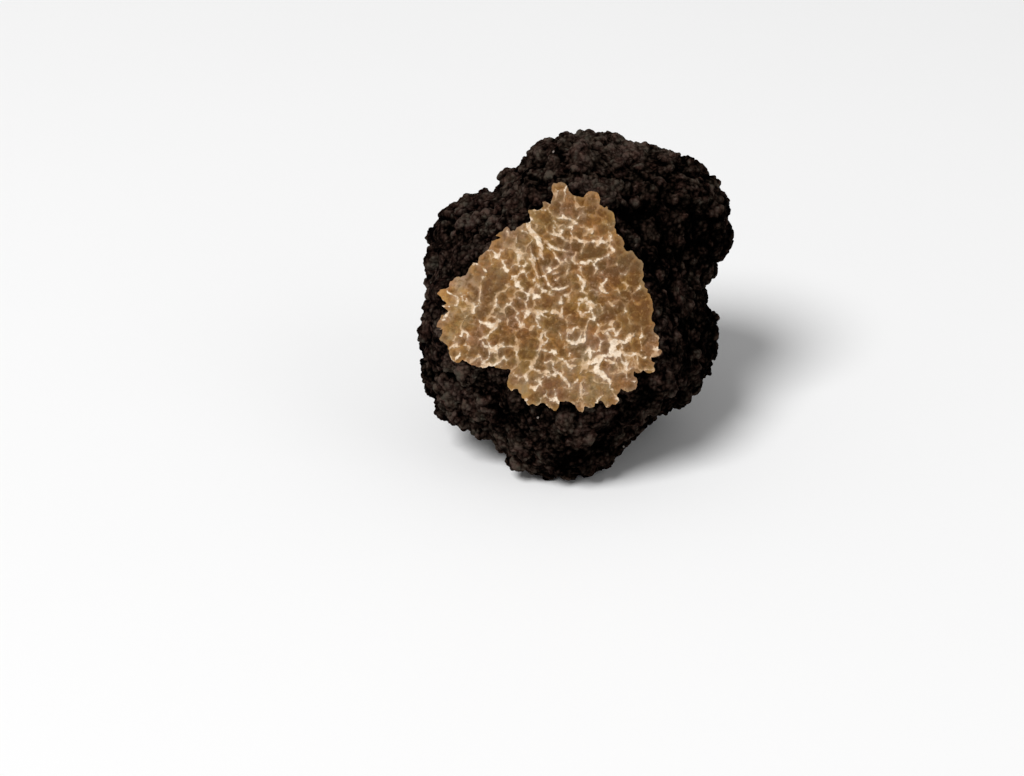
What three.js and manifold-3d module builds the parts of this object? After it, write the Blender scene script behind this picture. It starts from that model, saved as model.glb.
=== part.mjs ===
// A fresh black truffle with one side pared flat to show its marbled flesh.
//
// It is one grown body: several rounded lobes run into each other, and the whole skin is raised
// into blunt, many-sided warts with narrow furrows between them. A knife has taken a slice off
// the front, so the flesh is a flat face there, scalloped where the cut runs through the warts.
// It lies on a small flat spot under its own weight.
//
// Millimetres, +Z up. The origin is the middle of the resting spot, and the cut faces -Y.

import * as THREE from "three";
import { ConvexHull } from "three/addons/math/ConvexHull.js";
import { ImprovedNoise } from "three/addons/math/ImprovedNoise.js";
import { mergeVertices } from "three/addons/utils/BufferGeometryUtils.js";
import Module from "manifold-3d";

// ---- Driving dimensions ----

const HEART = new THREE.Vector3(0, 0, 26); // the middle of the body, over the resting spot
const LOBE_BLEND = 1.4; // how softly neighbouring lobes run into each other

// Each lobe is a ball: its centre from the heart, across, back and up, and its radius.
const LOBES = [
  { name: "core", centre: [-1, 1.5, -2.5], radius: 22.7 },
  { name: "crown", centre: [1.5, 11, 13.5], radius: 13 },
  { name: "crown knob", centre: [11.2, 13, 11.6], radius: 11.2 },
  { name: "right shoulder", centre: [15.8, 10, 11.4], radius: 11.8 },
  { name: "left shoulder", centre: [-15, 8, 5.5], radius: 10.5 },
  { name: "right flank", centre: [13, 1, -7], radius: 12 },
  { name: "left flank", centre: [-14, -4, -9], radius: 12.5 },
  { name: "chin", centre: [-2, -10, -14], radius: 12.5 },
  { name: "pared brow", centre: [1, -1, 13.2], radius: 9.8 },
  { name: "pared left cheek", centre: [-14.2, -7.4, 1.2], radius: 10.9 },
  { name: "pared right cheek", centre: [7, -11, -3.5], radius: 10.8 },
  { name: "pared lip", centre: [-0.4, -11.6, -5.8], radius: 10.3 },
  { name: "back", centre: [3, 13, -5], radius: 14 },
  { name: "back left", centre: [-11, 8, -8], radius: 13 },
  { name: "back right", centre: [12, 6, -10], radius: 12 },
  { name: "foot", centre: [0, 2, -12], radius: 16 },
];

// Slow unevenness of the skin under the warts: the height and the length of each kind of wave.
const SWELLS = [
  { height: 1.1, length: 12 },
  { height: 0.7, length: 5.5 },
];

const WART_COUNT = 640; // over the whole body, before the slice is taken off
const WART_ROOM = 1.3; // how hard the warts crowd each other, against an even spread
const WART_HEIGHT = 1.1; // from the lobes' own surface to the tip of a middling wart
const FURROW_DEPTH = 0.7; // from the lobes' own surface to the bottom of a middling furrow
const SHOULDER_REACH = 0.58; // how far out from its tip, towards the furrow, a wart stays high
const SHOULDER_HEIGHT = 0.66; // height there, as a share of the wart's own
const SMALLEST_WART = 0.65; // sizes and heights run between these shares of the middling wart's
const LARGEST_WART = 1.6;
const WEAR = 0.35; // how far a wart's shoulders and a furrow's depth stray, as a share of their own
const TIP_LEAN = 0.3; // how far a tip leans off its wart's middle, as a share of the way to the furrow

const CUT_DEPTH = 15.5; // from the heart to the pared face
const CUT_RISE = 33; // degrees that the pared face looks up from level
const CUT_TURN = -5; // degrees that it is turned to the left

const SKIN_COLOUR = 0x231a15;

// ---- Seeded random numbers ----

const SEED = 35;
const MULTIPLIER = 1664525;
const INCREMENT = 1013904223;
const MODULUS = 2 ** 32;
let randomState = SEED;

// A number from 0 to 1.
function random() {
  randomState = (randomState * MULTIPLIER + INCREMENT) % MODULUS;
  return randomState / MODULUS;
}

// A value moved up or down by at most a share of itself.
function strayed(value, share) {
  return value * (1 + share * (2 * random() - 1));
}

// A short vector that points anywhere.
function shaken(amount) {
  return new THREE.Vector3(random() - 0.5, random() - 0.5, random() - 0.5).multiplyScalar(2 * amount);
}

// ---- The lobed body under the warts ----

const lobeCentres = LOBES.map((lobe) => new THREE.Vector3(...lobe.centre).add(HEART));

// Distance from the lobes' joint surface: below zero inside. The exponentials blend the lobes.
function lobeDistance(point) {
  let nearness = 0;
  LOBES.forEach((lobe, i) => {
    const gap = point.distanceTo(lobeCentres[i]) - lobe.radius;
    nearness += Math.exp(-gap / LOBE_BLEND);
  });
  return -LOBE_BLEND * Math.log(nearness);
}

// The way straight out of the lobes' joint surface at a point.
function outwards(point) {
  const out = new THREE.Vector3();
  LOBES.forEach((lobe, i) => {
    const away = point.clone().sub(lobeCentres[i]);
    const nearness = Math.exp((lobe.radius - away.length()) / LOBE_BLEND);
    out.addScaledVector(away.normalize(), nearness);
  });
  return out.normalize();
}

const noise = new ImprovedNoise();

function swell(point) {
  return SWELLS.reduce((sum, { height, length }) => {
    const [x, y, z] = point.toArray().map((value) => value / length);
    return sum + height * noise.noise(x, y, z);
  }, 0);
}

// Where the skin lies in one direction from the heart, found by walking in from outside.
function skinPoint(direction, height = 0) {
  const START = 50;
  const STEPS = 60;
  const STRIDE = 0.7; // each step is this share of the distance left
  const point = HEART.clone().addScaledVector(direction, START);
  for (let i = 0; i < STEPS; i++) {
    point.addScaledVector(direction, -STRIDE * lobeDistance(point));
  }
  return point.addScaledVector(outwards(point), swell(point) + height);
}

// ---- Warts ----

// Directions from the heart to the warts' middles. A fine, shaken spiral is walked over the body
// and a wart is set each time enough skin has gone by. The warts are then pushed apart on the
// skin until each has the room that its own size asks for.
function spreadWarts() {
  const GOLDEN_ANGLE = Math.PI * (3 - Math.sqrt(5));
  const SPIRAL_POINTS = 6000;
  const SHAKE = 0.03;
  const ROUNDS = 80;
  const PUSH = 0.2; // share of the room that is short, moved by each of two warts in a round
  const walk = [];
  for (let i = 0; i < SPIRAL_POINTS; i++) {
    const up = 1 - (2 * i + 1) / SPIRAL_POINTS;
    const spiral = new THREE.Vector3().setFromSphericalCoords(1, Math.acos(up), i * GOLDEN_ANGLE);
    const direction = spiral.add(shaken(SHAKE)).normalize();
    const point = skinPoint(direction);
    walk.push({ direction, skin: point.distanceToSquared(HEART) / outwards(point).dot(direction) });
  }
  const skinPerWart = walk.reduce((sum, step) => sum + step.skin, 0) / WART_COUNT;
  const warts = [];
  let skinGone = 0;
  for (const { direction, skin } of walk) {
    skinGone += skin;
    if (skinGone > skinPerWart * (warts.length + 0.5)) {
      const size = THREE.MathUtils.lerp(SMALLEST_WART, LARGEST_WART, random() ** 2);
      warts.push({ direction: direction.clone(), size });
    }
  }
  for (let round = 0; round < ROUNDS; round++) {
    const points = warts.map((wart) => skinPoint(wart.direction));
    const squares = points.map((point) => point.distanceToSquared(HEART));
    const meanSquare = squares.reduce((sum, square) => sum + square) / WART_COUNT;
    const spacing = WART_ROOM * Math.sqrt(4 * Math.PI * meanSquare / WART_COUNT);
    const moved = points.map((point) => point.clone());
    for (let a = 0; a < WART_COUNT; a++) {
      for (let b = a + 1; b < WART_COUNT; b++) {
        const wanted = spacing * (warts[a].size + warts[b].size) / 2;
        const short = wanted - points[a].distanceTo(points[b]);
        if (short > 0) {
          const push = points[a].clone().sub(points[b]).setLength(PUSH * short);
          moved[a].add(push);
          moved[b].sub(push);
        }
      }
    }
    moved.forEach((point, i) => warts[i].direction.copy(point.sub(HEART).normalize()));
  }
  return warts;
}

// The warts' tips are joined into triangles, and each triangle's middle is a furrow corner shared
// by three warts. A wart is then a ring of furrow corners, a ring of shoulder points and its tip.
function wartySkin(warts) {
  const tips = warts.map((wart) => wart.direction.clone());
  const hull = new ConvexHull().setFromPoints(tips);
  const wartOf = new Map(tips.map((tip, i) => [tip, i]));
  const positions = [];
  const indices = [];

  function addPoint(point) {
    positions.push(...point.toArray());
    return positions.length / 3 - 1;
  }

  const furrows = hull.faces.map((face) => {
    const corners = [0, 1, 2].map((i) => wartOf.get(face.getEdge(i).head().point));
    const direction = new THREE.Vector3();
    corners.forEach((corner) => direction.add(warts[corner].direction));
    direction.normalize();
    return { corners, direction, index: addPoint(skinPoint(direction, -strayed(FURROW_DEPTH, WEAR))) };
  });

  warts.forEach((wart, i) => {
    // The furrow corners round this wart, in order, anticlockwise as seen from outside.
    const side = new THREE.Vector3(0, 0, 1).cross(wart.direction).normalize();
    const over = wart.direction.clone().cross(side);
    const ring = furrows.filter((furrow) => furrow.corners.includes(i));
    ring.forEach((furrow) => {
      const offset = furrow.direction.clone().sub(wart.direction);
      furrow.angle = Math.atan2(offset.dot(over), offset.dot(side));
    });
    ring.sort((a, b) => a.angle - b.angle);

    const height = WART_HEIGHT * wart.size;
    const shoulders = ring.map((furrow) => {
      const direction = wart.direction.clone().lerp(furrow.direction, SHOULDER_REACH).normalize();
      return addPoint(skinPoint(direction, strayed(SHOULDER_HEIGHT * height, WEAR)));
    });
    const leanTo = ring[Math.floor(random() * ring.length)];
    const tipDirection = wart.direction.clone().lerp(leanTo.direction, TIP_LEAN * random()).normalize();
    const tip = addPoint(skinPoint(tipDirection, height));
    ring.forEach((furrow, j) => {
      const next = (j + 1) % ring.length;
      indices.push(furrow.index, ring[next].index, shoulders[next]);
      indices.push(furrow.index, shoulders[next], shoulders[j]);
      indices.push(shoulders[j], shoulders[next], tip);
    });
  });

  const geometry = new THREE.BufferGeometry();
  geometry.setAttribute("position", new THREE.Float32BufferAttribute(positions, 3));
  geometry.setIndex(indices);
  return geometry;
}

// ---- Cutting ----

const wasm = await Module();
wasm.setup();

function solidOf(geometry) {
  const bare = geometry.clone();
  bare.deleteAttribute("normal");
  bare.deleteAttribute("uv");
  const merged = mergeVertices(bare);
  return new wasm.Manifold(new wasm.Mesh({
    numProp: 3,
    vertProperties: new Float32Array(merged.attributes.position.array),
    triVerts: new Uint32Array(merged.index.array),
  }));
}

function geometryOf(solid) {
  const mesh = solid.getMesh();
  const geometry = new THREE.BufferGeometry();
  geometry.setAttribute("position", new THREE.BufferAttribute(mesh.vertProperties, 3));
  geometry.setIndex(new THREE.BufferAttribute(mesh.triVerts, 1));
  geometry.computeVertexNormals();
  return geometry;
}

const BLOCK = 100; // longer than the truffle is wide

// What the knife took off: everything past the pared face.
function slice() {
  const block = new THREE.BoxGeometry(BLOCK, BLOCK, BLOCK);
  block.translate(0, -BLOCK / 2 - CUT_DEPTH, 0);
  block.rotateX(-THREE.MathUtils.degToRad(CUT_RISE));
  block.rotateZ(THREE.MathUtils.degToRad(CUT_TURN));
  block.translate(...HEART.toArray());
  return block;
}

// What the ground pressed flat: everything under the resting spot.
function ground() {
  return new THREE.BoxGeometry(BLOCK, BLOCK, BLOCK).translate(0, 0, -BLOCK / 2);
}

// ---- The truffle ----

function truffle() {
  const whole = solidOf(wartySkin(spreadWarts()));
  const pared = whole.subtract(solidOf(slice())).subtract(solidOf(ground()));
  const skin = new THREE.MeshStandardMaterial({ color: SKIN_COLOUR, roughness: 0.85, metalness: 0 });
  const mesh = new THREE.Mesh(geometryOf(pared), skin);
  mesh.name = "truffle";
  return mesh;
}

const group = new THREE.Group();
group.add(truffle());

export default group;
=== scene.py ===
import math

import bmesh
import bpy
import numpy as np
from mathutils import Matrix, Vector, kdtree, noise
from mathutils.geometry import delaunay_2d_cdt


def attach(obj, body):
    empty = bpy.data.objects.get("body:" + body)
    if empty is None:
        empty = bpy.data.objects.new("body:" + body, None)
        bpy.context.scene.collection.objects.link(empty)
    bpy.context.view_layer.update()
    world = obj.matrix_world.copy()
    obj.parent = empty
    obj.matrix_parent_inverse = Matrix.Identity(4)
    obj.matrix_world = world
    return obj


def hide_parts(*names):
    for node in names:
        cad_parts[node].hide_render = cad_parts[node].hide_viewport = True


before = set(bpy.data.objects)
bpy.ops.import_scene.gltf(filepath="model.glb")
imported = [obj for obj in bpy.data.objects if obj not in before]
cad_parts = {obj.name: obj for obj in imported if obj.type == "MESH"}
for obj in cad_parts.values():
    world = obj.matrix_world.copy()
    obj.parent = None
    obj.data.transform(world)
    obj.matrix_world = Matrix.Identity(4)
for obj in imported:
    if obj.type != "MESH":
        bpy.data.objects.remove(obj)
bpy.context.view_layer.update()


# ---- The truffle's warty body ----
# A black truffle is one grown fungus, solid right through. Its rind is a mass of blunt warts
# with dark furrows between them, each wart knobbly and grained like coarse leather. It lies on
# a small spot that its own weight has pressed flat.

mm = 0.001
HEART = Vector((0, 0, 26)) * mm  # the middle of the body, over the resting spot
SKIN_MESH = 0.29 * mm
SKIN_TRIANGLES = 157000


def coordinates(mesh):
    """The mesh's points, one row each."""
    row = np.empty(len(mesh.vertices) * 3, np.float32)
    mesh.vertices.foreach_get("co", row)
    return row.reshape(-1, 3).astype(float)


def place(mesh, points):
    mesh.vertices.foreach_set("co", points.astype(np.float32).ravel())
    mesh.update()


def applied(piece):
    """Makes the piece's modifiers real."""
    depsgraph = bpy.context.evaluated_depsgraph_get()
    shaped = bpy.data.meshes.new_from_object(piece.evaluated_get(depsgraph))
    piece.modifiers.clear()
    piece.data = shaped


def gradual(value, low, high):
    """0 below low, 1 above high, and a soft rise between."""
    share = np.clip((value - low) / (high - low), 0, 1)
    return share * share * (3 - 2 * share)


# The knife's face holds the biggest upward triangle of the whole body. The true face lies a
# little deeper, so that it crosses clean warts.
PARING = 0.35 * mm
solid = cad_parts["truffle"]
upward = [face for face in solid.data.polygons if face.normal.z > 0]
pared = max(upward, key=lambda face: face.area)
cut_out = pared.normal.copy()
cut_across = Vector((0, 0, 1)).cross(cut_out).normalized()
cut_up = cut_out.cross(cut_across)
cut_heart = HEART + cut_out * ((pared.center - HEART).dot(cut_out) - PARING)

# The flat face is first grown outwards into a stub, so that its rim rounds off like any other
# skin and can be pared clean again afterwards.
STUB = 3 * mm
WELD = 0.001 * mm
FLAT_WITHIN = 0.01 * mm
truffle = bpy.data.objects.new("truffle_flesh_and_skin", solid.data.copy())
bpy.context.scene.collection.objects.link(truffle)
whole = bmesh.new()
whole.from_mesh(truffle.data)
bmesh.ops.remove_doubles(whole, verts=whole.verts[:], dist=WELD)
whole.normal_update()
flat = []
for face in whole.faces:
    off = (face.calc_center_median() - pared.center).dot(cut_out)
    if abs(off) < FLAT_WITHIN and face.normal.dot(cut_out) > 0.9:
        flat.append(face)
raised = bmesh.ops.extrude_face_region(whole, geom=flat)
stub = [item for item in raised["geom"] if isinstance(item, bmesh.types.BMVert)]
bmesh.ops.translate(whole, verts=stub, vec=cut_out * STUB)
bmesh.ops.delete(whole, geom=[face for face in flat if face.is_valid], context="FACES")
whole.to_mesh(truffle.data)
whole.free()
even = truffle.modifiers.new("even skin", "REMESH")
even.mode = "VOXEL"
even.voxel_size = SKIN_MESH
applied(truffle)

# The big warts are rounded off, but not where they meet the ground.
ROUNDING_ROUNDS = 30
ROUNDING = 0.5
ROUNDED_ABOVE = (0.1 * mm, 1.5 * mm)  # from none to all of it, over the ground
points = coordinates(truffle.data)
ends = np.empty(len(truffle.data.edges) * 2, np.int32)
truffle.data.edges.foreach_get("vertices", ends)
ends = np.unique(np.sort(ends.reshape(-1, 2), axis=1), axis=0)
one, other = np.concatenate([ends, ends[:, ::-1]]).T
neighbours = np.bincount(one, minlength=len(points))
softness = ROUNDING * gradual(points[:, 2], *ROUNDED_ABOVE)
for _ in range(ROUNDING_ROUNDS):
    middle = np.stack([np.bincount(one, points[other, axis], len(points)) for axis in range(3)], 1)
    points += softness[:, None] * (middle / neighbours[:, None] - points)
place(truffle.data, points)

# Where the outline of the pared face bulges or is notched: the place on the face, across and
# up from its middle, how far round it the skin moves, and how far out, all in millimetres.
RIM_SHAPE = [
    ((-3.5, 16.7), 1.8, 1.7),
    ((-1.7, 17.2), 1.7, 1.5),
    ((-5.8, 16.0), 1.8, -1.0),
    ((6.8, 15.4), 1.6, 1.1),
    ((-11.0, 8.0), 2.0, 1.6),
    ((11.4, 12.4), 4.0, -2.4),
    ((13.4, -2.8), 1.6, 1.0),
    ((15.6, -12.3), 2.2, -1.2),
    ((12.6, -13.4), 1.5, 0.8),
    ((12.4, -15.4), 2.4, -2.8),
    ((-0.5, -19.4), 3.0, -0.7),
    ((0.8, -18.4), 1.7, -2.0),
    ((-11.2, -14.0), 1.8, -1.6),
    ((-22.9, -2.8), 2.4, -2.6),
    ((-21.6, -4.6), 1.8, -1.6),
    ((-20.5, -0.9), 2.1, 1.5),
]
for (across, up), reach, push in RIM_SHAPE:
    out = (cut_across * across + cut_up * up).normalized()
    spot = cut_heart + (cut_across * across + cut_up * up) * mm
    away = np.linalg.norm(points - np.array(spot), axis=1)
    moved = push * mm * (1 - gradual(away, 0.2 * reach * mm, 1.6 * reach * mm))
    points += np.outer(moved, np.array(out))
place(truffle.data, points)

# Each kind of relief is a crowd of blunt many-sided knobs: how wide, how high, how wide the
# furrow between two is, how domed each knob is, how far its top leans to one side, and how
# much its raised tips count towards the dust, the painted sheen on tips and the painted shade in furrows.
RELIEF = {
    "cluster": {"width": 6.0, "height": 0.42, "furrow": 0.2, "dome": 0.2, "lean": 0.6, "dust_and_sheen": 0.35},
    "knob": {"width": 2.6, "height": 0.34, "furrow": 0.3, "dome": 0.4, "lean": 1.2, "dust_and_sheen": 0.45},
    "granule": {"width": 1.25, "height": 0.24, "furrow": 0.45, "dome": 0.5, "lean": 1.2, "dust_and_sheen": 0.4},
}
SLOPE = 0.8  # how far up a knob's flank the dust starts to thin out
WANDER = 0.7 * mm  # how far the furrows stray from straight lines
WANDER_LENGTH = 2.6 * mm
UNLIKE = 0.9  # how much one knob's height differs from the next
KNOBBLY_ABOVE = (0.1 * mm, 1.2 * mm)  # from none to all of the relief, over the ground
PRESSED_FLAT = 0.08 * mm  # what is lower than this rests on the ground
CREST_SPREAD = 0.2
noise.seed_set(1)  # the furrows wander the same way each time


def relief(kind, spots):
    """How high each spot stands in one kind of relief, from 0 in a furrow to about 1, how far up
    the knob's slope it lies, and each knob's own lot."""
    width = kind["width"] * mm
    near = np.empty(len(spots))
    gap = np.empty(len(spots))
    lot = np.empty(len(spots))
    lean = np.empty(len(spots))
    for i, spot in enumerate(spots):
        distances, knobs = noise.voronoi(spot / width)
        near[i] = distances[0]
        gap[i] = distances[1] - distances[0]
        lot[i] = noise.noise(knobs[0] * 5.3)
        lean[i] = (spot / width - knobs[0]).dot(noise.noise_vector(knobs[0] * 3.7))
    flanks = gradual(gap, 0, kind["furrow"])
    top = 1 - kind["dome"] * near**2 + kind["lean"] * lean
    return flanks * top * (1 + UNLIKE * lot), gradual(gap, 0, SLOPE), lot


spots = []
for point in points:
    spot = Vector(point)
    spots.append(spot + WANDER * noise.noise_vector(spot / WANDER_LENGTH))
cluster, cluster_slope, _ = relief(RELIEF["cluster"], spots)
knob, knob_slope, knob_lot = relief(RELIEF["knob"], spots)
granule, granule_slope, granule_lot = relief(RELIEF["granule"], spots)
heights = np.zeros(len(points))
for name, layer in (("cluster", cluster), ("knob", knob), ("granule", granule)):
    heights += RELIEF[name]["height"] * mm * layer

# How high each point stands among its neighbours, about 0.5 on the whole: the tips are dusty,
# and the furrows are painted black as the shade that falls in them.
tip_dust_and_furrow_shade = RELIEF["cluster"]["dust_and_sheen"] * cluster
tip_dust_and_furrow_shade += RELIEF["knob"]["dust_and_sheen"] * knob_slope * (1 + knob_lot)
tip_dust_and_furrow_shade += RELIEF["granule"]["dust_and_sheen"] * granule_slope * (1 + granule_lot)
tip_dust_and_furrow_shade = 0.5 + CREST_SPREAD * (tip_dust_and_furrow_shade - tip_dust_and_furrow_shade.mean()) / tip_dust_and_furrow_shade.std()

normals = np.empty(len(points) * 3, np.float32)
truffle.data.vertex_normals.foreach_get("vector", normals)
normals = normals.reshape(-1, 3).astype(float)
grounded = gradual(points[:, 2], *KNOBBLY_ABOVE)
points += normals * ((heights - heights.mean()) * grounded)[:, None]
points[:, 2] = np.where(points[:, 2] < PRESSED_FLAT, 0, points[:, 2])

# A wart that would poke through the pared face beside its edge is pressed back under it.
TUCK = 0.1 * mm
off_cut = (points - np.array(cut_heart)) @ np.array(cut_out)
above = off_cut > -TUCK
both = above[one] & above[other]
tips, next_tips = one[both], other[both]
patch = np.arange(len(points))
while True:
    lowest = patch.copy()
    np.minimum.at(lowest, tips, patch[next_tips])
    lowest = lowest[lowest]
    if np.array_equal(lowest, patch):
        break
    patch = lowest
face_patch = np.bincount(patch[above]).argmax()
poking = above & (patch != face_patch)
points -= np.outer(np.where(poking, off_cut + TUCK, 0), np.array(cut_out))
place(truffle.data, points)

# The finest mesh is thinned where the skin is smooth, and what each part of the skin stands
# at is found again from the nearest fine point.
fine = kdtree.KDTree(len(points))
for i, point in enumerate(points):
    fine.insert(point, i)
fine.balance()
thin = truffle.modifiers.new("thinned", "DECIMATE")
thin.ratio = min(1, SKIN_TRIANGLES / (2 * len(truffle.data.polygons)))
applied(truffle)


class Finish:
    """A procedural material, laid down node by node."""

    def __init__(self, name, roughness):
        self.material = bpy.data.materials.new(name)
        self.material.use_nodes = True
        self.tree = self.material.node_tree
        self.shader = self.tree.nodes["Principled BSDF"]
        self.shader.inputs["Roughness"].default_value = roughness
        self.place = self.tree.nodes.new("ShaderNodeTexCoord").outputs["Object"]

    def node(self, kind, settings=(), **inputs):
        """A node with its settings. An input is given by its name, or as i and its number."""
        made = self.tree.nodes.new("ShaderNode" + kind)
        for key, value in dict(settings).items():
            setattr(made, key, value)
        for key, value in inputs.items():
            numbered = key[0] == "i" and key[1:].isdigit()
            socket = made.inputs[int(key[1:]) if numbered else key]
            if isinstance(value, bpy.types.NodeSocket):
                self.tree.links.new(value, socket)
            else:
                socket.default_value = value
        return made

    def noise(self, scale, detail=3.0, roughness=0.55):
        inputs = {"Vector": self.place, "Scale": scale, "Detail": detail, "Roughness": roughness}
        return self.node("TexNoise", **inputs).outputs["Fac"]

    def knobs(self, scale, wander):
        """A crowd of knobs: how far each place is from its knob's middle, and the knob's lot."""
        inputs = {"Vector": self.place, "Scale": 0.8 * scale, "Detail": 2.0}
        shift = self.node("TexNoise", **inputs).outputs["Color"]
        settings = {"operation": "MULTIPLY_ADD"}
        strayed = self.node("VectorMath", settings, i0=shift, i1=(wander, wander, wander), i2=self.place)
        made = self.node("TexVoronoi", Vector=strayed.outputs[0], Scale=scale)
        lot = self.node("SeparateColor", Color=made.outputs["Color"]).outputs[0]
        return made.outputs["Distance"], lot

    def value(self, attribute):
        return self.node("Attribute", {"attribute_name": attribute}).outputs["Fac"]

    def rise(self, value, low, high, start=0.0, end=1.0):
        """A soft run from start to end as the value goes from low to high."""
        settings = {"interpolation_type": "SMOOTHSTEP"}
        return self.node("MapRange", settings, i0=value, i1=low, i2=high, i3=start, i4=end).outputs[0]

    def patches(self, scale, detail, roughness, start=0.0, end=1.0, spread=0.2):
        """Soft patches of noise that run from start to end, the wider their spread the softer."""
        return self.rise(self.noise(scale, detail, roughness), 0.5 - spread, 0.5 + spread, start, end)

    def math(self, operation, a, b):
        return self.node("Math", {"operation": operation}, i0=a, i1=b).outputs[0]

    def total(self, *values):
        """The values added up."""
        added, *rest = values
        for value in rest:
            added = self.math("ADD", added, value)
        return added

    def times(self, value, factor):
        return self.math("MULTIPLY", value, factor)

    def held(self, value):
        """The value kept from 0 to 1."""
        return self.math("MINIMUM", self.math("MAXIMUM", value, 0.0), 1.0)

    def mix(self, share, first, second):
        return self.node("Mix", {"data_type": "RGBA"}, i0=share, i6=first, i7=second).outputs[2]

    def tinted(self, colour, share, first, second):
        """The colour times a tint that runs from the first to the second."""
        settings = {"data_type": "RGBA", "blend_type": "MULTIPLY"}
        return self.node("Mix", settings, i0=1.0, i6=colour, i7=self.mix(share, first, second)).outputs[2]

    def paint(self, colour):
        self.tree.links.new(colour, self.shader.inputs["Base Color"])

    def dull(self, roughness):
        self.tree.links.new(roughness, self.shader.inputs["Roughness"])

    def bump(self, height, depth):
        made = self.node("Bump", Height=height, Distance=depth, Strength=1.0)
        self.tree.links.new(made.outputs["Normal"], self.shader.inputs["Normal"])


# The rind is dry and matt. It is near black in the furrows and the gaps between granules, partly its
# own dark and partly painted shade. It has dusty brown rubbed tips that turn grey where brightest,
# which is a painted sheen over the dust. More tips show where dry earth clings, and the earth
# areas also paint the top and upper left lighter and the right side darker. A few crumbs of pale
# grit are also painted glints.
BLACK_AND_FURROW_SHADE = (0.0003, 0.0002, 0.0002, 1)
RED_BROWN = (0.07, 0.039, 0.028, 1)
GREY_DUST_AND_SHEEN = (0.055, 0.041, 0.032, 1)
OLIVE_TINT = (0.9, 1.05, 1.02, 1)
RUST_TINT = (1.1, 0.95, 0.98, 1)
PALE_CRUMB_AND_GLINT = (0.2, 0.17, 0.15, 1)
skin = Finish("truffle_rind", 0.8)
skin.shader.inputs["Specular IOR Level"].default_value = 0.002
grit, grit_lot = skin.knobs(1300, 0.4 * mm)
speckle = skin.noise(1900, 4)
earth_and_side_light = skin.value("earth_and_side_light")
# Tips stand lighter, furrows and granule gaps darker: dust on top, painted shade below.
stands = skin.total(
    skin.value("tip_dust_and_furrow_shade"),
    skin.times(skin.value("lot"), 0.4),
    skin.rise(grit, 0.1, 0.75, 0.17, -0.2),
    skin.rise(grit_lot, 0.0, 1.0, -0.16, 0.16),
    skin.rise(speckle, 0.3, 0.7, -0.12, 0.12),
)
# The earth areas also paint light and shade: the top and upper left lighter, the right side and bottom
# darker.
stands = skin.times(stands, skin.rise(earth_and_side_light, 0.0, 1.0, 0.75, 1.06))
stands = skin.total(stands, skin.rise(earth_and_side_light, 0.0, 1.0, -0.21, 0.17))
# The brightest tips turn grey: grey dust, with a painted sheen on it.
grey_dust_and_sheen_share = skin.total(skin.rise(stands, 0.3, 1.0), skin.patches(700, 3, 0.55, -0.4, 0.4))
dust_and_sheen = skin.mix(skin.held(grey_dust_and_sheen_share), RED_BROWN, GREY_DUST_AND_SHEEN)
dust_over_shade = skin.math("POWER", skin.math("MAXIMUM", stands, 0.0), 2.2)
# The rind runs from black with painted shade in the furrows to the tips' dust and painted sheen.
rind = skin.mix(skin.math("MINIMUM", dust_over_shade, 1.0), BLACK_AND_FURROW_SHADE, dust_and_sheen)
rind = skin.tinted(rind, skin.patches(420, 5, 0.7, spread=0.15), OLIVE_TINT, RUST_TINT)
# Pale grit crumbs, which are also painted glints.
crumb_and_glint, crumb_and_glint_lot = skin.knobs(330, 0.2 * mm)
is_crumb_and_glint = skin.times(skin.rise(crumb_and_glint, 0.09, 0.05), skin.rise(crumb_and_glint_lot, 0.9, 0.92))
skin.paint(skin.mix(is_crumb_and_glint, rind, PALE_CRUMB_AND_GLINT))
skin.dull(skin.rise(speckle, 0.3, 0.7, 0.62, 0.9))
skin.bump(skin.total(skin.times(grit, -1.0), skin.times(speckle, 0.6)), 0.35 * mm)


# ---- The pared face ----
# A knife has sliced one side off, so the firm flesh shows as a flat face: brown cells of spore
# flesh, each a slight cushion, and paler walls between them that broken white veins run along.
# Its outline is scalloped where the cut runs through warts and furrows.

body = bmesh.new()
body.from_mesh(truffle.data)
bmesh.ops.bisect_plane(
    body,
    geom=body.verts[:] + body.edges[:] + body.faces[:],
    plane_co=cut_heart,
    plane_no=cut_out,
    clear_outer=True,
)

# Loose crumbs of mesh go, and only the piece that touches the ground is kept. Points of its
# rim that all but meet become one.
RIM_WELD = 0.02 * mm
kept = {min(body.verts, key=lambda vert: vert.co.z)}
reached = list(kept)
while reached:
    for edge in reached.pop().link_edges:
        for vert in edge.verts:
            if vert not in kept:
                kept.add(vert)
                reached.append(vert)
bmesh.ops.delete(body, geom=[vert for vert in body.verts if vert not in kept], context="VERTS")


def edge_points(edges):
    """The points that some edges run between, each once and always in the same order."""
    return list({vert: None for edge in edges for vert in edge.verts})


rim = edge_points([edge for edge in body.edges if edge.is_boundary])
bmesh.ops.remove_doubles(body, verts=rim, dist=RIM_WELD)
rim_edges = [edge for edge in body.edges if edge.is_boundary]
rim = edge_points(rim_edges)


def on_face(co):
    """A point's place on the pared face, across and up from its middle, in millimetres."""
    away = (co - cut_heart) / mm
    return Vector((away.dot(cut_across), away.dot(cut_up)))


def off_face(spot, out):
    """The point that stands out millimetres off a place on the pared face."""
    return cut_heart + (cut_across * spot.x + cut_up * spot.y + cut_out * out) * mm


def finder(places):
    """Finds the nearest of some places on the face."""
    made = kdtree.KDTree(len(places))
    for i, spot in enumerate(places):
        made.insert(spot.to_3d(), i)
    made.balance()
    return made


FACE_REACH = 27  # millimetres from the middle of the face, past its furthest rim
chance = np.random.default_rng(11)


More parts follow.
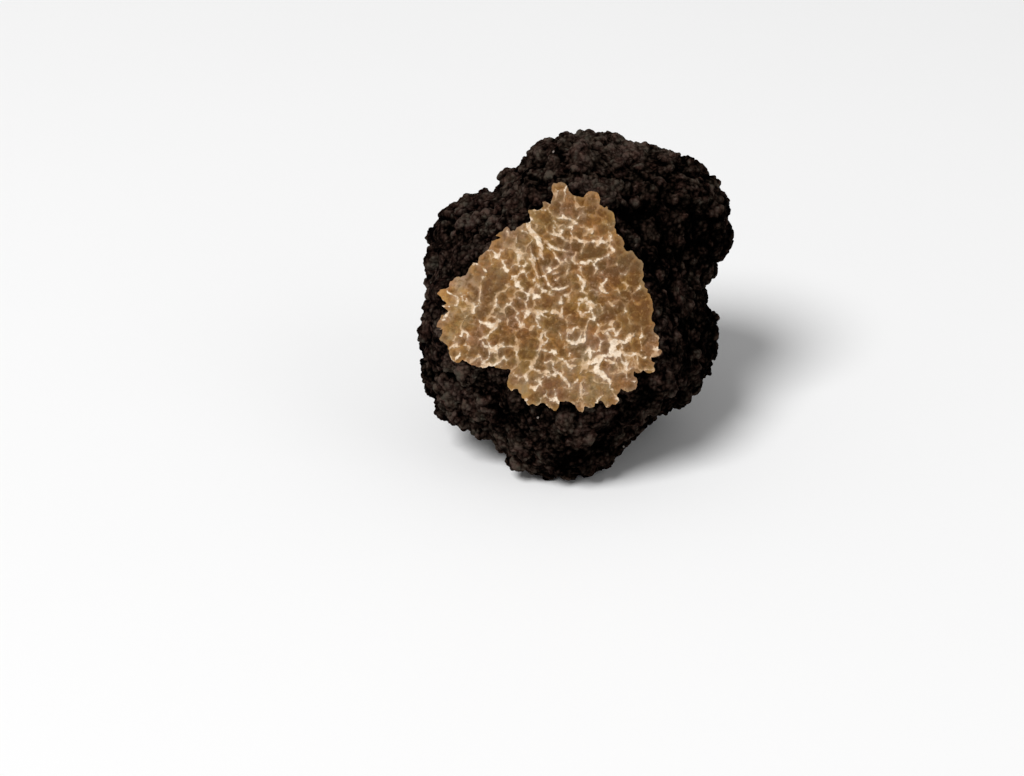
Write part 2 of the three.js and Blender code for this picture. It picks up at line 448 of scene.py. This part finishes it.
def honeycomb(width, jitter):
    """The middles of uneven six-sided cells that cover the whole face."""
    row_height = width * math.sqrt(3) / 2
    rows, columns = int(FACE_REACH / row_height), int(FACE_REACH / width)
    middles = []
    for row in range(-rows, rows + 1):
        for column in range(-columns, columns + 1):
            spot = Vector(((column + 0.5 * (row % 2)) * width, row * row_height))
            middles.append(spot + Vector(chance.uniform(-jitter, jitter, 2)) * width)
    return middles


def unevenness(spot, length, layer=0):
    """A soft random swell from about -1 to 1, its bumps a length apart."""
    return noise.noise(spot.to_3d() / length + Vector((0, 0, 7.3 * layer)))


# How the walls between the cells stray from straight lines, once at length and once in a
# shorter shiver, in millimetres.
WIGGLE = 0.5
WIGGLE_LENGTH = 1.1
SHIVER = 0.5  # beside the wiggle
SHIVER_LENGTH = 0.5


def wavy(spot):
    """The place moved a little aside, so that straight lines come out wavy."""
    sway = noise.noise_vector(spot.to_3d() / WIGGLE_LENGTH)
    shiver = noise.noise_vector(spot.to_3d() / SHIVER_LENGTH)
    return spot + WIGGLE * (sway + SHIVER * shiver).to_2d()


# The cells, millimetres from one cell's middle to the next, and how the walls between them
# round off where they meet.
CELL = 1.9
CELL_JITTER = 0.42
WALL_ROUND = 0.13
NEAR_CELLS = 6  # how many cells round a place can wall it in
cells = honeycomb(CELL, CELL_JITTER)
cell_finder = finder(cells)
cell_tone = chance.uniform(0, 1, len(cells))

# Walls show well or hardly at all, and are filled with white vein or aren't, each by its own
# lot and by the lot of the stretch of flesh that it lies in.
STRETCH = 4.5
WALL_LOTS = (-0.35, 0.45)  # from hardly seen to clear
WHITE_LOTS = (-0.05, 0.35)  # from unfilled to filled
FAINTEST_WALL = 0.03
FAINTEST_WHITE = 0.02
VEIN_WIDTH = -0.02
VEIN_SWELL = 0.16
SWELL_LENGTH = 1.3
MILK = 0.75
MILK_PATCHES = 0.8
MILK_LENGTH = 2.2
fillings = {}


def filling(one, other):
    """How well the wall between two cells shows, and how much white vein it holds, each from
    nearly none to 1."""
    pair = (min(one, other), max(one, other))
    if pair not in fillings:
        middle = (cells[pair[0]] + cells[pair[1]]) / 2
        lot = noise.cell(middle.to_3d() * 90) + 0.5 * unevenness(middle, STRETCH)
        shown = FAINTEST_WALL + (1 - FAINTEST_WALL) * float(gradual(lot, *WALL_LOTS))
        white = FAINTEST_WHITE + (1 - FAINTEST_WHITE) * float(gradual(lot, *WHITE_LOTS))
        fillings[pair] = (shown, white)
    return fillings[pair]


def wall_at(spot):
    """How far a place is from the nearest wall, from the white in it, and that white's milkiness."""
    own, *others = cell_finder.find_n(wavy(spot).to_3d(), NEAR_CELLS)
    wall = filled = 0
    for _, cell, away in others:
        nearness = math.exp((own[2] - away) / 2 / WALL_ROUND)
        shown, white = filling(own[1], cell)
        wall += nearness * shown
        filled += nearness * white
    width = VEIN_WIDTH + VEIN_SWELL * (0.5 + unevenness(spot, SWELL_LENGTH))
    milk = min(1, MILK + MILK_PATCHES * unevenness(spot, MILK_LENGTH, 1))
    return -WALL_ROUND * math.log(wall), -WALL_ROUND * math.log(filled) - width, milk


# Each bold vein is a row of samples: its place on the face, its half-width and how milky it is.
VEIN_STEP = 0.16
UNEVEN = 0.8  # how much a vein swells and narrows on its way
UNEVEN_LENGTH = 0.75
VEIN_TAPER = 0.25  # the share of its length over which each end narrows
VEIN_TIP = 0.3  # the share of its width that is left at the very end
vein_samples = []


def draw_vein(line, widths, milk, looseness=1, clearing=0):
    """One vein along a line of places, its half-width running through widths. Looseness is how
    wavy and uneven it is, and clearing how far it thins the finer veins beside it."""
    line = np.array(line)
    strides = np.linalg.norm(np.diff(line, axis=0), axis=1)
    along = np.concatenate([[0], np.cumsum(strides)])
    share = np.linspace(0, 1, max(2, round(along[-1] / VEIN_STEP)) + 1)
    across = np.interp(share * along[-1], along, line[:, 0])
    up = np.interp(share * along[-1], along, line[:, 1])
    tapers = VEIN_TIP + (1 - VEIN_TIP) * gradual(np.minimum(share, 1 - share), 0, VEIN_TAPER)
    halves = tapers * np.interp(share, np.linspace(0, 1, len(widths)), widths)
    for x, y, half in zip(across, up, halves):
        spot = Vector((x, y))
        swell = 1 + UNEVEN * looseness * unevenness(spot, UNEVEN_LENGTH)
        dim = 1 + 0.5 * unevenness(spot, SWELL_LENGTH, 1)
        milkiness = min(1, milk * dim)
        vein_samples.append((spot.lerp(wavy(spot), looseness), half * swell, milkiness, clearing))


# The boldest veins and milky patches of this truffle, each drawn one by one: the line that it
# follows across and up from the middle of the face, its half-widths and its milkiness. Those
# near the fold under the brow are pulled taut, so they run smoother and clearer than the rest.
TAUT_VEINS = [
    # the torn white streak under the brow, its pale flap and the fold that runs down from it
    ([(-7.6, 12.2), (-6.8, 10.9), (-5.7, 9.6)], [0.26, 0.42, 0.36], 0.9),
    ([(-6.3, 10.2), (-5.6, 9.5), (-5.0, 8.5), (-4.6, 7.7)], [0.25, 0.42, 0.4, 0.24], 1.0),
    ([(-5.2, 8.1), (-4.9, 7.1), (-4.5, 6.2)], [0.2, 0.34, 0.16], 0.6),
    ([(-5.2, 9.8), (-3.7, 8.9), (-2.5, 7.9), (-1.4, 7.8), (-0.1, 7.6)], [0.1, 0.14, 0.2, 0.14, 0.12], 0.95),
    ([(-3.8, 8.2), (-2.4, 6.9), (-1.5, 5.5)], [0.1, 0.13, 0.08], 0.85),
    ([(-4.5, 4.8), (-4.1, 3.5), (-3.4, 2.3), (-2.7, 1.1), (-1.5, 1.0), (0.1, 1.8)],
     [0.06, 0.1, 0.12, 0.15, 0.13, 0.16], 0.95),
    ([(-6.9, 8.1), (-6.3, 6.4), (-5.9, 4.6), (-5.4, 3.3), (-6.1, 2.2)], [0.06, 0.1, 0.1, 0.1, 0.08], 0.75),
    ([(-2.6, 3.7), (-1.8, 4.1)], [0.16, 0.16], 0.95),
    ([(-0.8, 6.2), (-0.1, 5.4), (-0.5, 3.8), (-0.8, 3.2)], [0.1, 0.12, 0.1, 0.05], 0.8),
    # the claw and the strokes over it
    ([(-3.1, 12.0), (-3.2, 11.2), (-2.4, 10.4), (-1.7, 10.2), (-1.0, 9.5)],
     [0.1, 0.14, 0.14, 0.22, 0.18], 1.0),
    ([(-1.4, 11.2), (-1.7, 10.2)], [0.16, 0.2], 0.95),
    ([(-2.7, 13.2), (-1.1, 13.1), (-0.1, 13.0), (1.0, 12.4)], [0.1, 0.2, 0.16, 0.12], 0.95),
    ([(-1.4, 13.8), (-1.2, 13.1)], [0.08, 0.16], 0.9),
]
BOLD_VEINS = [
    ([(2.2, 11.8), (3.5, 11.4), (3.2, 10.4), (4.1, 10.1)], [0.1, 0.2, 0.14, 0.06], 0.9),
    # the chain round the dark cell at the upper right
    ([(4.2, 8.5), (4.4, 9.4), (5.5, 9.3), (6.6, 9.6)], [0.1, 0.2, 0.12, 0.12], 0.95),
    ([(5.1, 9.5), (5.2, 10.3)], [0.12, 0.06], 0.9),
    ([(6.1, 9.3), (7.3, 8.2), (6.7, 7.5), (5.8, 6.9)], [0.1, 0.18, 0.1, 0.12], 0.95),
    ([(5.8, 6.9), (3.9, 5.9), (1.3, 5.6)], [0.12, 0.2, 0.1], 0.85),
    ([(3.9, 5.9), (4.5, 4.8), (4.4, 3.8)], [0.2, 0.14, 0.05], 0.85),
    # strokes in the middle
    ([(5.4, 2.6), (5.7, 1.2), (6.4, 0.9)], [0.16, 0.26, 0.12], 1.0),
    ([(1.7, 3.4), (2.3, 2.3), (2.3, 1.1)], [0.1, 0.2, 0.14], 0.9),
    ([(-1.1, -0.3), (-0.9, -1.1)], [0.12, 0.4], 1.0),
    ([(1.5, -0.4), (2.9, -0.3), (4.2, -1.2), (4.9, -2.2)], [0.08, 0.16, 0.22, 0.1], 0.9),
    ([(-8.1, -0.5), (-6.3, -2.4), (-4.6, -2.9), (-2.1, -3.0), (-0.9, -3.6)],
     [0.06, 0.1, 0.1, 0.14, 0.06], 0.8),
    ([(7.0, -0.7), (7.9, -1.1)], [0.18, 0.3], 0.9),
    ([(0.2, -6.0), (0.6, -7.7), (1.7, -8.1), (2.8, -7.5), (3.2, -5.7)], [0.08, 0.18, 0.22, 0.2, 0.08], 0.95),
    # the left side
    ([(-9.5, 2.3), (-8.6, 1.6), (-7.4, 1.0)], [0.14, 0.3, 0.16], 0.95),
    ([(-9.3, 1.2), (-8.1, 2.1)], [0.14, 0.2], 0.85),
    ([(-9.3, 7.2), (-8.8, 6.2), (-8.2, 4.9)], [0.1, 0.24, 0.1], 0.9),
    ([(-12.9, 7.1), (-12.1, 6.5)], [0.2, 0.26], 0.8),
    ([(-14.7, -4.8), (-13.0, -5.2), (-12.3, -5.2), (-10.9, -4.3)], [0.08, 0.3, 0.44, 0.1], 1.0),
    ([(-12.7, -6.0), (-11.9, -5.1), (-11.4, -4.3)], [0.14, 0.3, 0.1], 0.95),
    ([(-14.2, -8.0), (-13.3, -9.4), (-12.6, -9.7), (-10.7, -8.3)], [0.05, 0.12, 0.2, 0.05], 0.85),
    ([(-4.1, -6.2), (-4.3, -7.3), (-3.6, -8.4)], [0.16, 0.34, 0.1], 0.85),
    ([(-4.4, -9.2), (-4.7, -10.2), (-5.7, -12.5), (-6.7, -14.5)], [0.12, 0.24, 0.16, 0.08], 0.85),
    # the big milky patch at the lower right and its arms
    ([(6.6, -6.1), (7.4, -6.7), (8.1, -7.9), (7.4, -9.5)], [0.2, 0.22, 0.42, 0.7], 1.0),
    ([(8.1, -7.7), (9.8, -7.4), (11.0, -5.9)], [0.3, 0.22, 0.3], 1.0),
    ([(7.2, -9.7), (9.2, -9.4), (11.7, -9.3), (13.5, -9.7)], [0.6, 0.26, 0.2, 0.26], 0.95),
    ([(11.7, -9.4), (12.1, -10.6)], [0.18, 0.08], 0.9),
    ([(9.3, -9.5), (9.6, -10.9), (10.5, -11.8)], [0.2, 0.12, 0.06], 0.85),
    ([(7.0, -9.9), (5.3, -10.4), (3.4, -11.3), (0.9, -11.9)], [0.55, 0.4, 0.14, 0.06], 1.0),
    ([(5.6, -10.6), (5.4, -12.4), (6.8, -13.5), (8.3, -15.1)], [0.2, 0.5, 0.2, 0.14], 0.9),
    ([(3.1, -13.7), (2.9, -15.5), (3.1, -17.4)], [0.1, 0.2, 0.12], 0.75),
    ([(8.2, -7.6), (9.5, -7.5), (9.6, -8.6), (8.4, -9.5)], [0.2, 0.14, 0.12, 0.2], 0.95),
    ([(6.9, -10.3), (8.4, -10.9), (9.0, -12.0)], [0.3, 0.16, 0.08], 0.9),
    ([(5.5, -12.4), (4.5, -12.1), (3.4, -12.9)], [0.3, 0.16, 0.06], 0.7),
    # round the pinkish cell at the bottom
    ([(-3.9, -14.1), (-2.9, -13.3), (-0.8, -13.1), (0.8, -14.7), (1.3, -16.2)],
     [0.08, 0.2, 0.14, 0.18, 0.1], 0.9),
    ([(-1.7, -10.2), (0.0, -10.7), (1.3, -12.6)], [0.08, 0.12, 0.3], 0.9),
]
TAUT_LOOSENESS = 0.4  # how wavy and uneven a taut vein is beside the others
CLEARING = 0.12  # how much narrower the finer veins are beside a taut one
CLEARING_REACH = (0.3, 1.1)
for line, widths, milk in BOLD_VEINS:
    draw_vein(line, widths, milk)
for line, widths, milk in TAUT_VEINS:
    draw_vein(line, widths, milk, TAUT_LOOSENESS, CLEARING)
veins = finder([sample[0] for sample in vein_samples])
NEAR_SAMPLES = 8
VEIN_BLEND = 0.08
RAGGED = 0.16
RAGGED_LENGTH = 0.45


def vein_at(spot):
    """How far a spot is from the nearest wall, how far from the edge of the nearest vein, below
    zero on the vein, and that vein's milkiness."""
    wall, thin, thin_milk = wall_at(spot)
    edges = []
    for _, i, distance in veins.find_n(spot.to_3d(), NEAR_SAMPLES):
        _, half, milk, clearing = vein_samples[i]
        edges.append((distance - half, milk, clearing))
    bold, bold_milk, clearing = min(edges)
    thin += clearing * (1 - float(gradual(bold, *CLEARING_REACH)))
    bold += RAGGED * unevenness(spot, RAGGED_LENGTH, 2)
    thin_share = math.exp(-thin / VEIN_BLEND)
    bold_share = math.exp(-bold / VEIN_BLEND)
    both = thin_share + bold_share
    milk = (thin_share * thin_milk + bold_share * bold_milk) / both
    return wall, -VEIN_BLEND * math.log(both), milk


# The knife left a few marks: a crack where a fold ran in, and the lip of a torn flap beside the
# white streak. Each is a line, how far its slopes reach, and how far it stands up or in.
MARKS = [
    ([(-6.5, 8.5), (-5.9, 7.0), (-5.4, 5.5), (-4.9, 3.9), (-4.4, 2.4)], 0.3, -0.35),
    ([(-5.4, 9.4), (-4.1, 8.5), (-3.1, 7.3)], 0.28, -0.3),
    ([(-5.1, 9.9), (-3.7, 9.1), (-2.4, 8.1)], 0.3, 0.3),
]
DEEPEST_MARK = max(-height for _, _, height in MARKS)


def mark_height(spot):
    """How far the knife's marks lift or sink a place, in millimetres."""
    total = 0
    for line, reach, height in MARKS:
        nearest = reach
        for begin, end in zip(line, line[1:]):
            from_begin = spot - Vector(begin)
            along = Vector(end) - Vector(begin)
            share = min(1, max(0, from_begin.dot(along) / along.length_squared))
            nearest = min(nearest, (from_begin - along * share).length)
        total += height * (1 - float(gradual(nearest, 0, reach)))
    return total


# The face is filled in with an even mesh that meets the rim, flat there and in soft relief
# further in, all in millimetres.
FLESH_MESH = 0.2
CUSHION = 0.1  # how far a cell's middle stands out over its walls
CUSHION_REACH = 0.6  # how far from the wall it stands at its full height
GRAIN = 0.08
GRAIN_LENGTH = 0.45
FLAT_RIM = 0.5  # how far in from the rim the relief is at its full height
rim_places = [on_face(vert.co) for vert in rim]
rim_finder = finder(rim_places)
inner = []
for spot in honeycomb(FLESH_MESH, 0.1):
    if rim_finder.find(spot.to_3d())[2] > 0.55 * FLESH_MESH:
        inner.append(spot)
rim_number = {vert: i for i, vert in enumerate(rim)}
rim_links = [tuple(rim_number[vert] for vert in edge.verts) for edge in rim_edges]
flat_points, _, flat_faces, origins, *_ = delaunay_2d_cdt(rim_places + inner, rim_links, [], 1, 1e-6)

flesh_verts = {}
for i in sorted({i for face in flat_faces for i in face}):
    given = [number for number in origins[i] if number < len(rim)]
    if given:
        flesh_verts[i] = rim[given[0]]
        continue
    spot = flat_points[i]
    cushion = CUSHION * float(gradual(vein_at(spot)[0], 0, CUSHION_REACH))
    grain = GRAIN * unevenness(spot, GRAIN_LENGTH)
    inset = float(gradual(rim_finder.find(spot.to_3d())[2], 0, FLAT_RIM))
    flesh_verts[i] = body.verts.new(off_face(spot, (cushion + grain + mark_height(spot)) * inset))
for face in flat_faces:
    corners = [flesh_verts[i] for i in face]
    if len(set(corners)) == 3:
        body.faces.new(corners).material_index = 1
body.normal_update()
turned = [face for face in body.faces if face.material_index == 1 and face.normal.dot(cut_out) < 0]
bmesh.ops.reverse_faces(body, faces=turned)
for face in body.faces:
    face.smooth = True
for edge in body.edges:
    edge.smooth = len({face.material_index for face in edge.link_faces}) == 1
bmesh.ops.triangulate(body, faces=body.faces[:])
body.to_mesh(truffle.data)
body.free()
mesh = truffle.data
points = coordinates(mesh)
points[:, 2] = np.maximum(points[:, 2], 0)
place(mesh, points)

# Where the face has fewer veins, as on the smooth brown flesh by the right rim, and where it is
# pale, dark or blushes: the middle of each area on the face, its radius in millimetres and how
# much.
FEW_VEINS = [((13.6, 6), 5, 0.5), ((14.5, -2), 4.5, 0.5), ((5, 16), 4, 0.3), ((-18, 2), 4, 0.2)]
PALE = [
    ((-18.8, -0.4), 5, 1.0),
    ((-11.7, 6.4), 4, 0.6),
    ((-19.0, -7.4), 4, 0.6),
    ((-6.9, 11.2), 3, 0.6),
    ((4.2, -13.5), 6, 0.5),
    ((-6.7, -15.9), 4, 0.5),
]
DARK = [
    ((12.3, 4.9), 5, 1.1),
    ((13.7, -3.1), 4.5, 1.1),
    ((13.9, -7.1), 4, 0.8),
    ((0.1, 9.4), 8, 0.4),
    ((6.3, 4.7), 6, 0.4),
]
BLUSH = [
    ((-12.5, 2.5), 3.4, 0.8),
    ((-1.9, -15.6), 2.6, 1.0),
    ((10.7, 6.3), 4.5, 0.4),
    ((12.7, -3.1), 4, 0.4),
]

# Dry earth clings to the skin in broad patches, more or less of it in some areas of the body.
# The listed areas also paint light and shade: the top and upper left lighter, and the right lobe,
# right flank and bottom darker, the way the light from the upper left falls.
EARTH_LENGTH = 11 * mm
EARTH_PATCHES = 0.55
EARTH_AND_SIDE_LIGHT = [
    ((-18, 5, 39), 14, 0.35),
    ((4, 12, 52), 10, 0.45),
    ((17, 13, 46), 9, 0.5),
    ((14, 0, 45), 8, -0.4),
    ((16, -1, 40), 8, -0.55),
    ((24, 4, 37), 9, -0.5),
    ((21, 0, 23), 9, -0.5),
    ((0, -15, 7), 10, -0.2),
]


def shares(points, areas):
    """How far each point falls in some round areas, each with a middle, a radius and a weight."""
    total = np.zeros(len(points))
    for middle, radius, weight in areas:
        away = np.linalg.norm(points - np.array(middle), axis=1)
        total += weight * (1 - gradual(away, 0.35 * radius, 1.1 * radius))
    return total


# What the finishes follow. On the skin: how high each point stands, which gives its tip dust and
# the painted shade of its furrows, its granule's own lot, and how much earth clings there, with the
# painted light and shade by side. On the face: the walls and veins, each cell's own tone, the
# cracks, which take painted shade, the way in from the rim, and the areas above.
FAR = 99.0
in_flesh = np.zeros(len(points), bool)
for polygon in mesh.polygons:
    if polygon.material_index == 1:
        in_flesh[list(polygon.vertices)] = True
plain_zero = ("tip_dust_and_furrow_shade", "lot", "milk", "tone", "inward", "crack")
values = {name: np.zeros(len(points)) for name in plain_zero}
values["wall"] = np.full(len(points), 1.0)
values["vein"] = np.full(len(points), 2.0)
face_places = np.full((len(points), 2), FAR)
for i, point in enumerate(points):
    co = Vector(point)
    nearest = fine.find(co)[1]
    values["tip_dust_and_furrow_shade"][i] = tip_dust_and_furrow_shade[nearest]
    values["lot"][i] = granule_lot[nearest]
    if in_flesh[i]:
        spot = on_face(co)
        face_places[i] = spot
        values["wall"][i], values["vein"][i], values["milk"][i] = vein_at(spot)
        values["tone"][i] = cell_tone[cell_finder.find(spot.to_3d())[1]]
        values["crack"][i] = max(0, -mark_height(spot)) / DEEPEST_MARK
        values["inward"][i] = rim_finder.find(spot.to_3d())[2]
values["vein"] += shares(face_places, FEW_VEINS)
values["pale"] = shares(face_places, PALE)
values["dark"] = shares(face_places, DARK)
values["blush"] = shares(face_places, BLUSH)
patchy = np.array([noise.noise(Vector(point) / EARTH_LENGTH) for point in points])
values["earth_and_side_light"] = np.clip(0.5 + EARTH_PATCHES * patchy + shares(points / mm, EARTH_AND_SIDE_LIGHT), 0, 1)
for name, row in values.items():
    mesh.attributes.new(name, "FLOAT", "POINT").data.foreach_set("value", row.astype(np.float32))

# The surface is laid out on one square sheet: the pared face in a corner, and the skin in six
# patches by the side of the body that each part looks out from.
FACE_SIDE = 0.42
PATCH_SIDE = 0.29
MARGIN = 0.006
FACE_SPAN = 42  # millimetres of flesh across its part of the sheet
PATCHES = [(0.42, 0), (0.71, 0), (0, 0.42), (0.29, 0.42), (0.58, 0.42), (0, 0.71)]
corners = np.empty(len(mesh.loops), np.int32)
mesh.loops.foreach_get("vertex_index", corners)
corners = corners.reshape(-1, 3)
numbers = np.arange(len(corners))
from_heart = points[corners] - np.array(HEART)
middles = from_heart.mean(axis=1)
axis = np.abs(middles).argmax(axis=1)
side = np.sign(middles[numbers, axis])
depth = np.abs(from_heart[numbers, :, axis])
first = from_heart[numbers, :, (axis + 1) % 3] / depth * side[:, None]
second = from_heart[numbers, :, (axis + 2) % 3] / depth
spread = 0.5 + np.arctan(np.stack([first, second], axis=2)) * 2 / math.pi
patch_corner = np.array(PATCHES)[axis * 2 + (side > 0)]
skin_sheet = patch_corner[:, None, :] + MARGIN + spread * (PATCH_SIDE - 2 * MARGIN)
from_cut = (points[corners] - np.array(cut_heart)) / mm
flesh_sheet = np.stack([from_cut @ np.array(cut_across), from_cut @ np.array(cut_up)], axis=2)
flesh_sheet = FACE_SIDE * (0.5 + flesh_sheet / FACE_SPAN)
finish_number = np.empty(len(mesh.polygons), np.int32)
mesh.polygons.foreach_get("material_index", finish_number)
sheet = np.where((finish_number == 1)[:, None, None], flesh_sheet, skin_sheet)
mesh.uv_layers.new(name="OFBake").data.foreach_set("uv", sheet.astype(np.float32).ravel())

# The flesh is moist and firm, brown in the cells and darkest in the cracks, where shade is
# painted in, paler by the walls and the rim, with cream veins that are milky white at their fullest.
DARK_BROWN = (0.105, 0.044, 0.008, 1)
OLIVE_TAN = (0.207, 0.109, 0.032, 1)
ORANGE_TAN = (0.258, 0.116, 0.037, 1)
LIGHT_TAN = (0.35, 0.206, 0.095, 1)
STRAW = (0.42, 0.27, 0.125, 1)
PINK_BROWN = (0.15, 0.067, 0.03, 1)
CREAM = (0.62, 0.425, 0.26, 1)
MILK_WHITE = (0.81, 0.675, 0.52, 1)
COOL_TINT = (0.92, 1.03, 1.35, 1)
GOLDEN_TINT = (1.08, 0.97, 0.65, 1)
PINK_TINT = (1.04, 0.965, 1.05, 1)
GREENISH_TINT = (0.96, 1.035, 0.95, 1)
flesh = Finish("truffle_flesh", 0.5)
flesh.shader.inputs["Specular IOR Level"].default_value = 0.15
mottle = flesh.noise(330, 4)
fine_mottle = flesh.noise(1500, 4, 0.65)
edge_stray = flesh.rise(fine_mottle, 0.3, 0.7, -0.12, 0.12)
vein_edge = flesh.total(flesh.value("vein"), edge_stray)
milk = flesh.value("milk")
white = flesh.times(flesh.rise(vein_edge, 0.16, -0.1), milk)
white = flesh.times(white, flesh.rise(flesh.noise(1100, 3), 0.3, 0.6, 0.65, 1.0))
halo = flesh.times(flesh.rise(vein_edge, 0.5, 0.0, 0.0, 0.9), milk)
wall_edge = flesh.total(flesh.value("wall"), edge_stray)
tone = flesh.total(
    flesh.rise(wall_edge, 0.0, 0.38, 0.85, 0.15),
    flesh.rise(mottle, 0.3, 0.7, -0.3, 0.3),
    flesh.times(flesh.value("tone"), 0.35),
    flesh.rise(fine_mottle, 0.3, 0.7, -0.4, 0.4),
    flesh.times(flesh.value("dark"), -0.35),
)
tan = flesh.mix(flesh.rise(flesh.noise(230, 2), 0.4, 0.65), OLIVE_TAN, ORANGE_TAN)
base = flesh.mix(flesh.rise(tone, -0.1, 1.2), DARK_BROWN, tan)
flecks = flesh.rise(flesh.noise(1200, 3, 0.6), 0.56, 0.68, 0.0, 0.5)
base = flesh.mix(flecks, base, LIGHT_TAN)
base = flesh.mix(flesh.times(flesh.value("blush"), 0.5), base, PINK_BROWN)
pale = flesh.times(flesh.value("pale"), flesh.patches(650, 4, 0.6, spread=0.15))
base = flesh.mix(flesh.times(pale, 0.8), base, STRAW)
rim_band = flesh.rise(flesh.value("inward"), 0.8, 0.15, 0.0, 0.5)
base = flesh.mix(flesh.times(flesh.math("MAXIMUM", halo, rim_band), 0.8), base, LIGHT_TAN)
base = flesh.tinted(base, flesh.patches(260, 6, 0.75, spread=0.15), COOL_TINT, GOLDEN_TINT)
base = flesh.tinted(base, flesh.patches(210, 6, 0.7, spread=0.15), PINK_TINT, GREENISH_TINT)
milk_mottle = flesh.rise(flesh.noise(900, 4, 0.7), 0.35, 0.65, -0.3, 0.2)
vein_colour = flesh.mix(flesh.rise(flesh.total(milk, milk_mottle), 0.6, 1.0), CREAM, MILK_WHITE)
# The cracks are darkened towards dark brown: painted shade in the folds.
crack_shade = flesh.rise(flesh.value("crack"), 0.4, 0.95, 0.0, 0.7)
flesh.paint(flesh.mix(crack_shade, flesh.mix(white, base, vein_colour), DARK_BROWN))
flesh.dull(flesh.rise(mottle, 0.3, 0.7, 0.4, 0.62))
proud = flesh.rise(vein_edge, 0.22, -0.05, 0.0, 0.55)
flesh.bump(flesh.total(fine_mottle, proud), 0.35 * mm)

mesh.materials[0] = skin.material
mesh.materials.append(flesh.material)
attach(truffle, "root")
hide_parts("truffle")


# ---- Floor, light and camera ----
# A plain pale tabletop, one broad soft lamp high on the left and a weaker one on the right,
# under an even white sky.

FLOOR_HALF = 3.0
FLOOR_GREYS = ((0.86, 0.86, 0.86, 1), (0.88, 0.88, 0.88, 1))
floor_corners = [(-1, -1), (1, -1), (1, 1), (-1, 1)]
floor_mesh = bpy.data.meshes.new("floor")
floor_mesh.from_pydata([(x * FLOOR_HALF, y * FLOOR_HALF, 0) for x, y in floor_corners], [], [(0, 1, 2, 3)])
floor = bpy.data.objects.new("floor", floor_mesh)
bpy.context.scene.collection.objects.link(floor)
floor_paint = Finish("pale_floor", 0.9)
floor_paint.paint(floor_paint.mix(floor_paint.noise(8), *FLOOR_GREYS))
floor_mesh.materials.append(floor_paint.material)

LAMP_DISTANCE = 3.2
SKY = 0.32


def lamp(name, azimuth, elevation, size, power):
    """A round soft lamp that shines on the middle of the body."""
    data = bpy.data.lights.new(name, "AREA")
    data.shape = "DISK"
    data.size = size
    data.energy = power
    made = bpy.data.objects.new(name, data)
    a, e = math.radians(azimuth), math.radians(elevation)
    away = Vector((math.sin(a) * math.cos(e), -math.cos(a) * math.cos(e), math.sin(e)))
    made.location = HEART + away * LAMP_DISTANCE
    made.rotation_euler = away.to_track_quat("Z", "Y").to_euler()
    bpy.context.scene.collection.objects.link(made)


lamp("key", -40, 52, 1.4, 100)
lamp("fill", 60, 35, 2.0, 8)
world = bpy.data.worlds.new("studio")
bpy.context.scene.world = world
world.use_nodes = True
sky = world.node_tree.nodes["Background"]
sky.inputs["Color"].default_value = (1, 1, 1, 1)
sky.inputs["Strength"].default_value = SKY

FRAME_WIDTH, FRAME_HEIGHT = 1024, 776
HEART_PIXEL = (572, 305)  # where the body's middle shows in the frame
VIEW_DISTANCE = 0.35
VIEW_ELEVATION = math.radians(30)
camera_data = bpy.data.cameras.new("camera")
camera_data.lens = 70
camera_data.sensor_width = 36
camera_data.clip_start = 0.01
camera_data.clip_end = 20
camera = bpy.data.objects.new("camera", camera_data)
bpy.context.scene.collection.objects.link(camera)
bpy.context.scene.camera = camera
ahead = Vector((0, math.cos(VIEW_ELEVATION), -math.sin(VIEW_ELEVATION)))
to_right = Vector((1, 0, 0))
to_top = to_right.cross(ahead)
pixel = VIEW_DISTANCE * camera_data.sensor_width / camera_data.lens / FRAME_WIDTH
aside = (HEART_PIXEL[0] - FRAME_WIDTH / 2) * pixel
over = (FRAME_HEIGHT / 2 - HEART_PIXEL[1]) * pixel
camera.location = HEART - ahead * VIEW_DISTANCE - to_right * aside - to_top * over
camera.rotation_euler = ahead.to_track_quat("-Z", "Y").to_euler()

bpy.context.scene.view_settings.view_transform = "Standard"
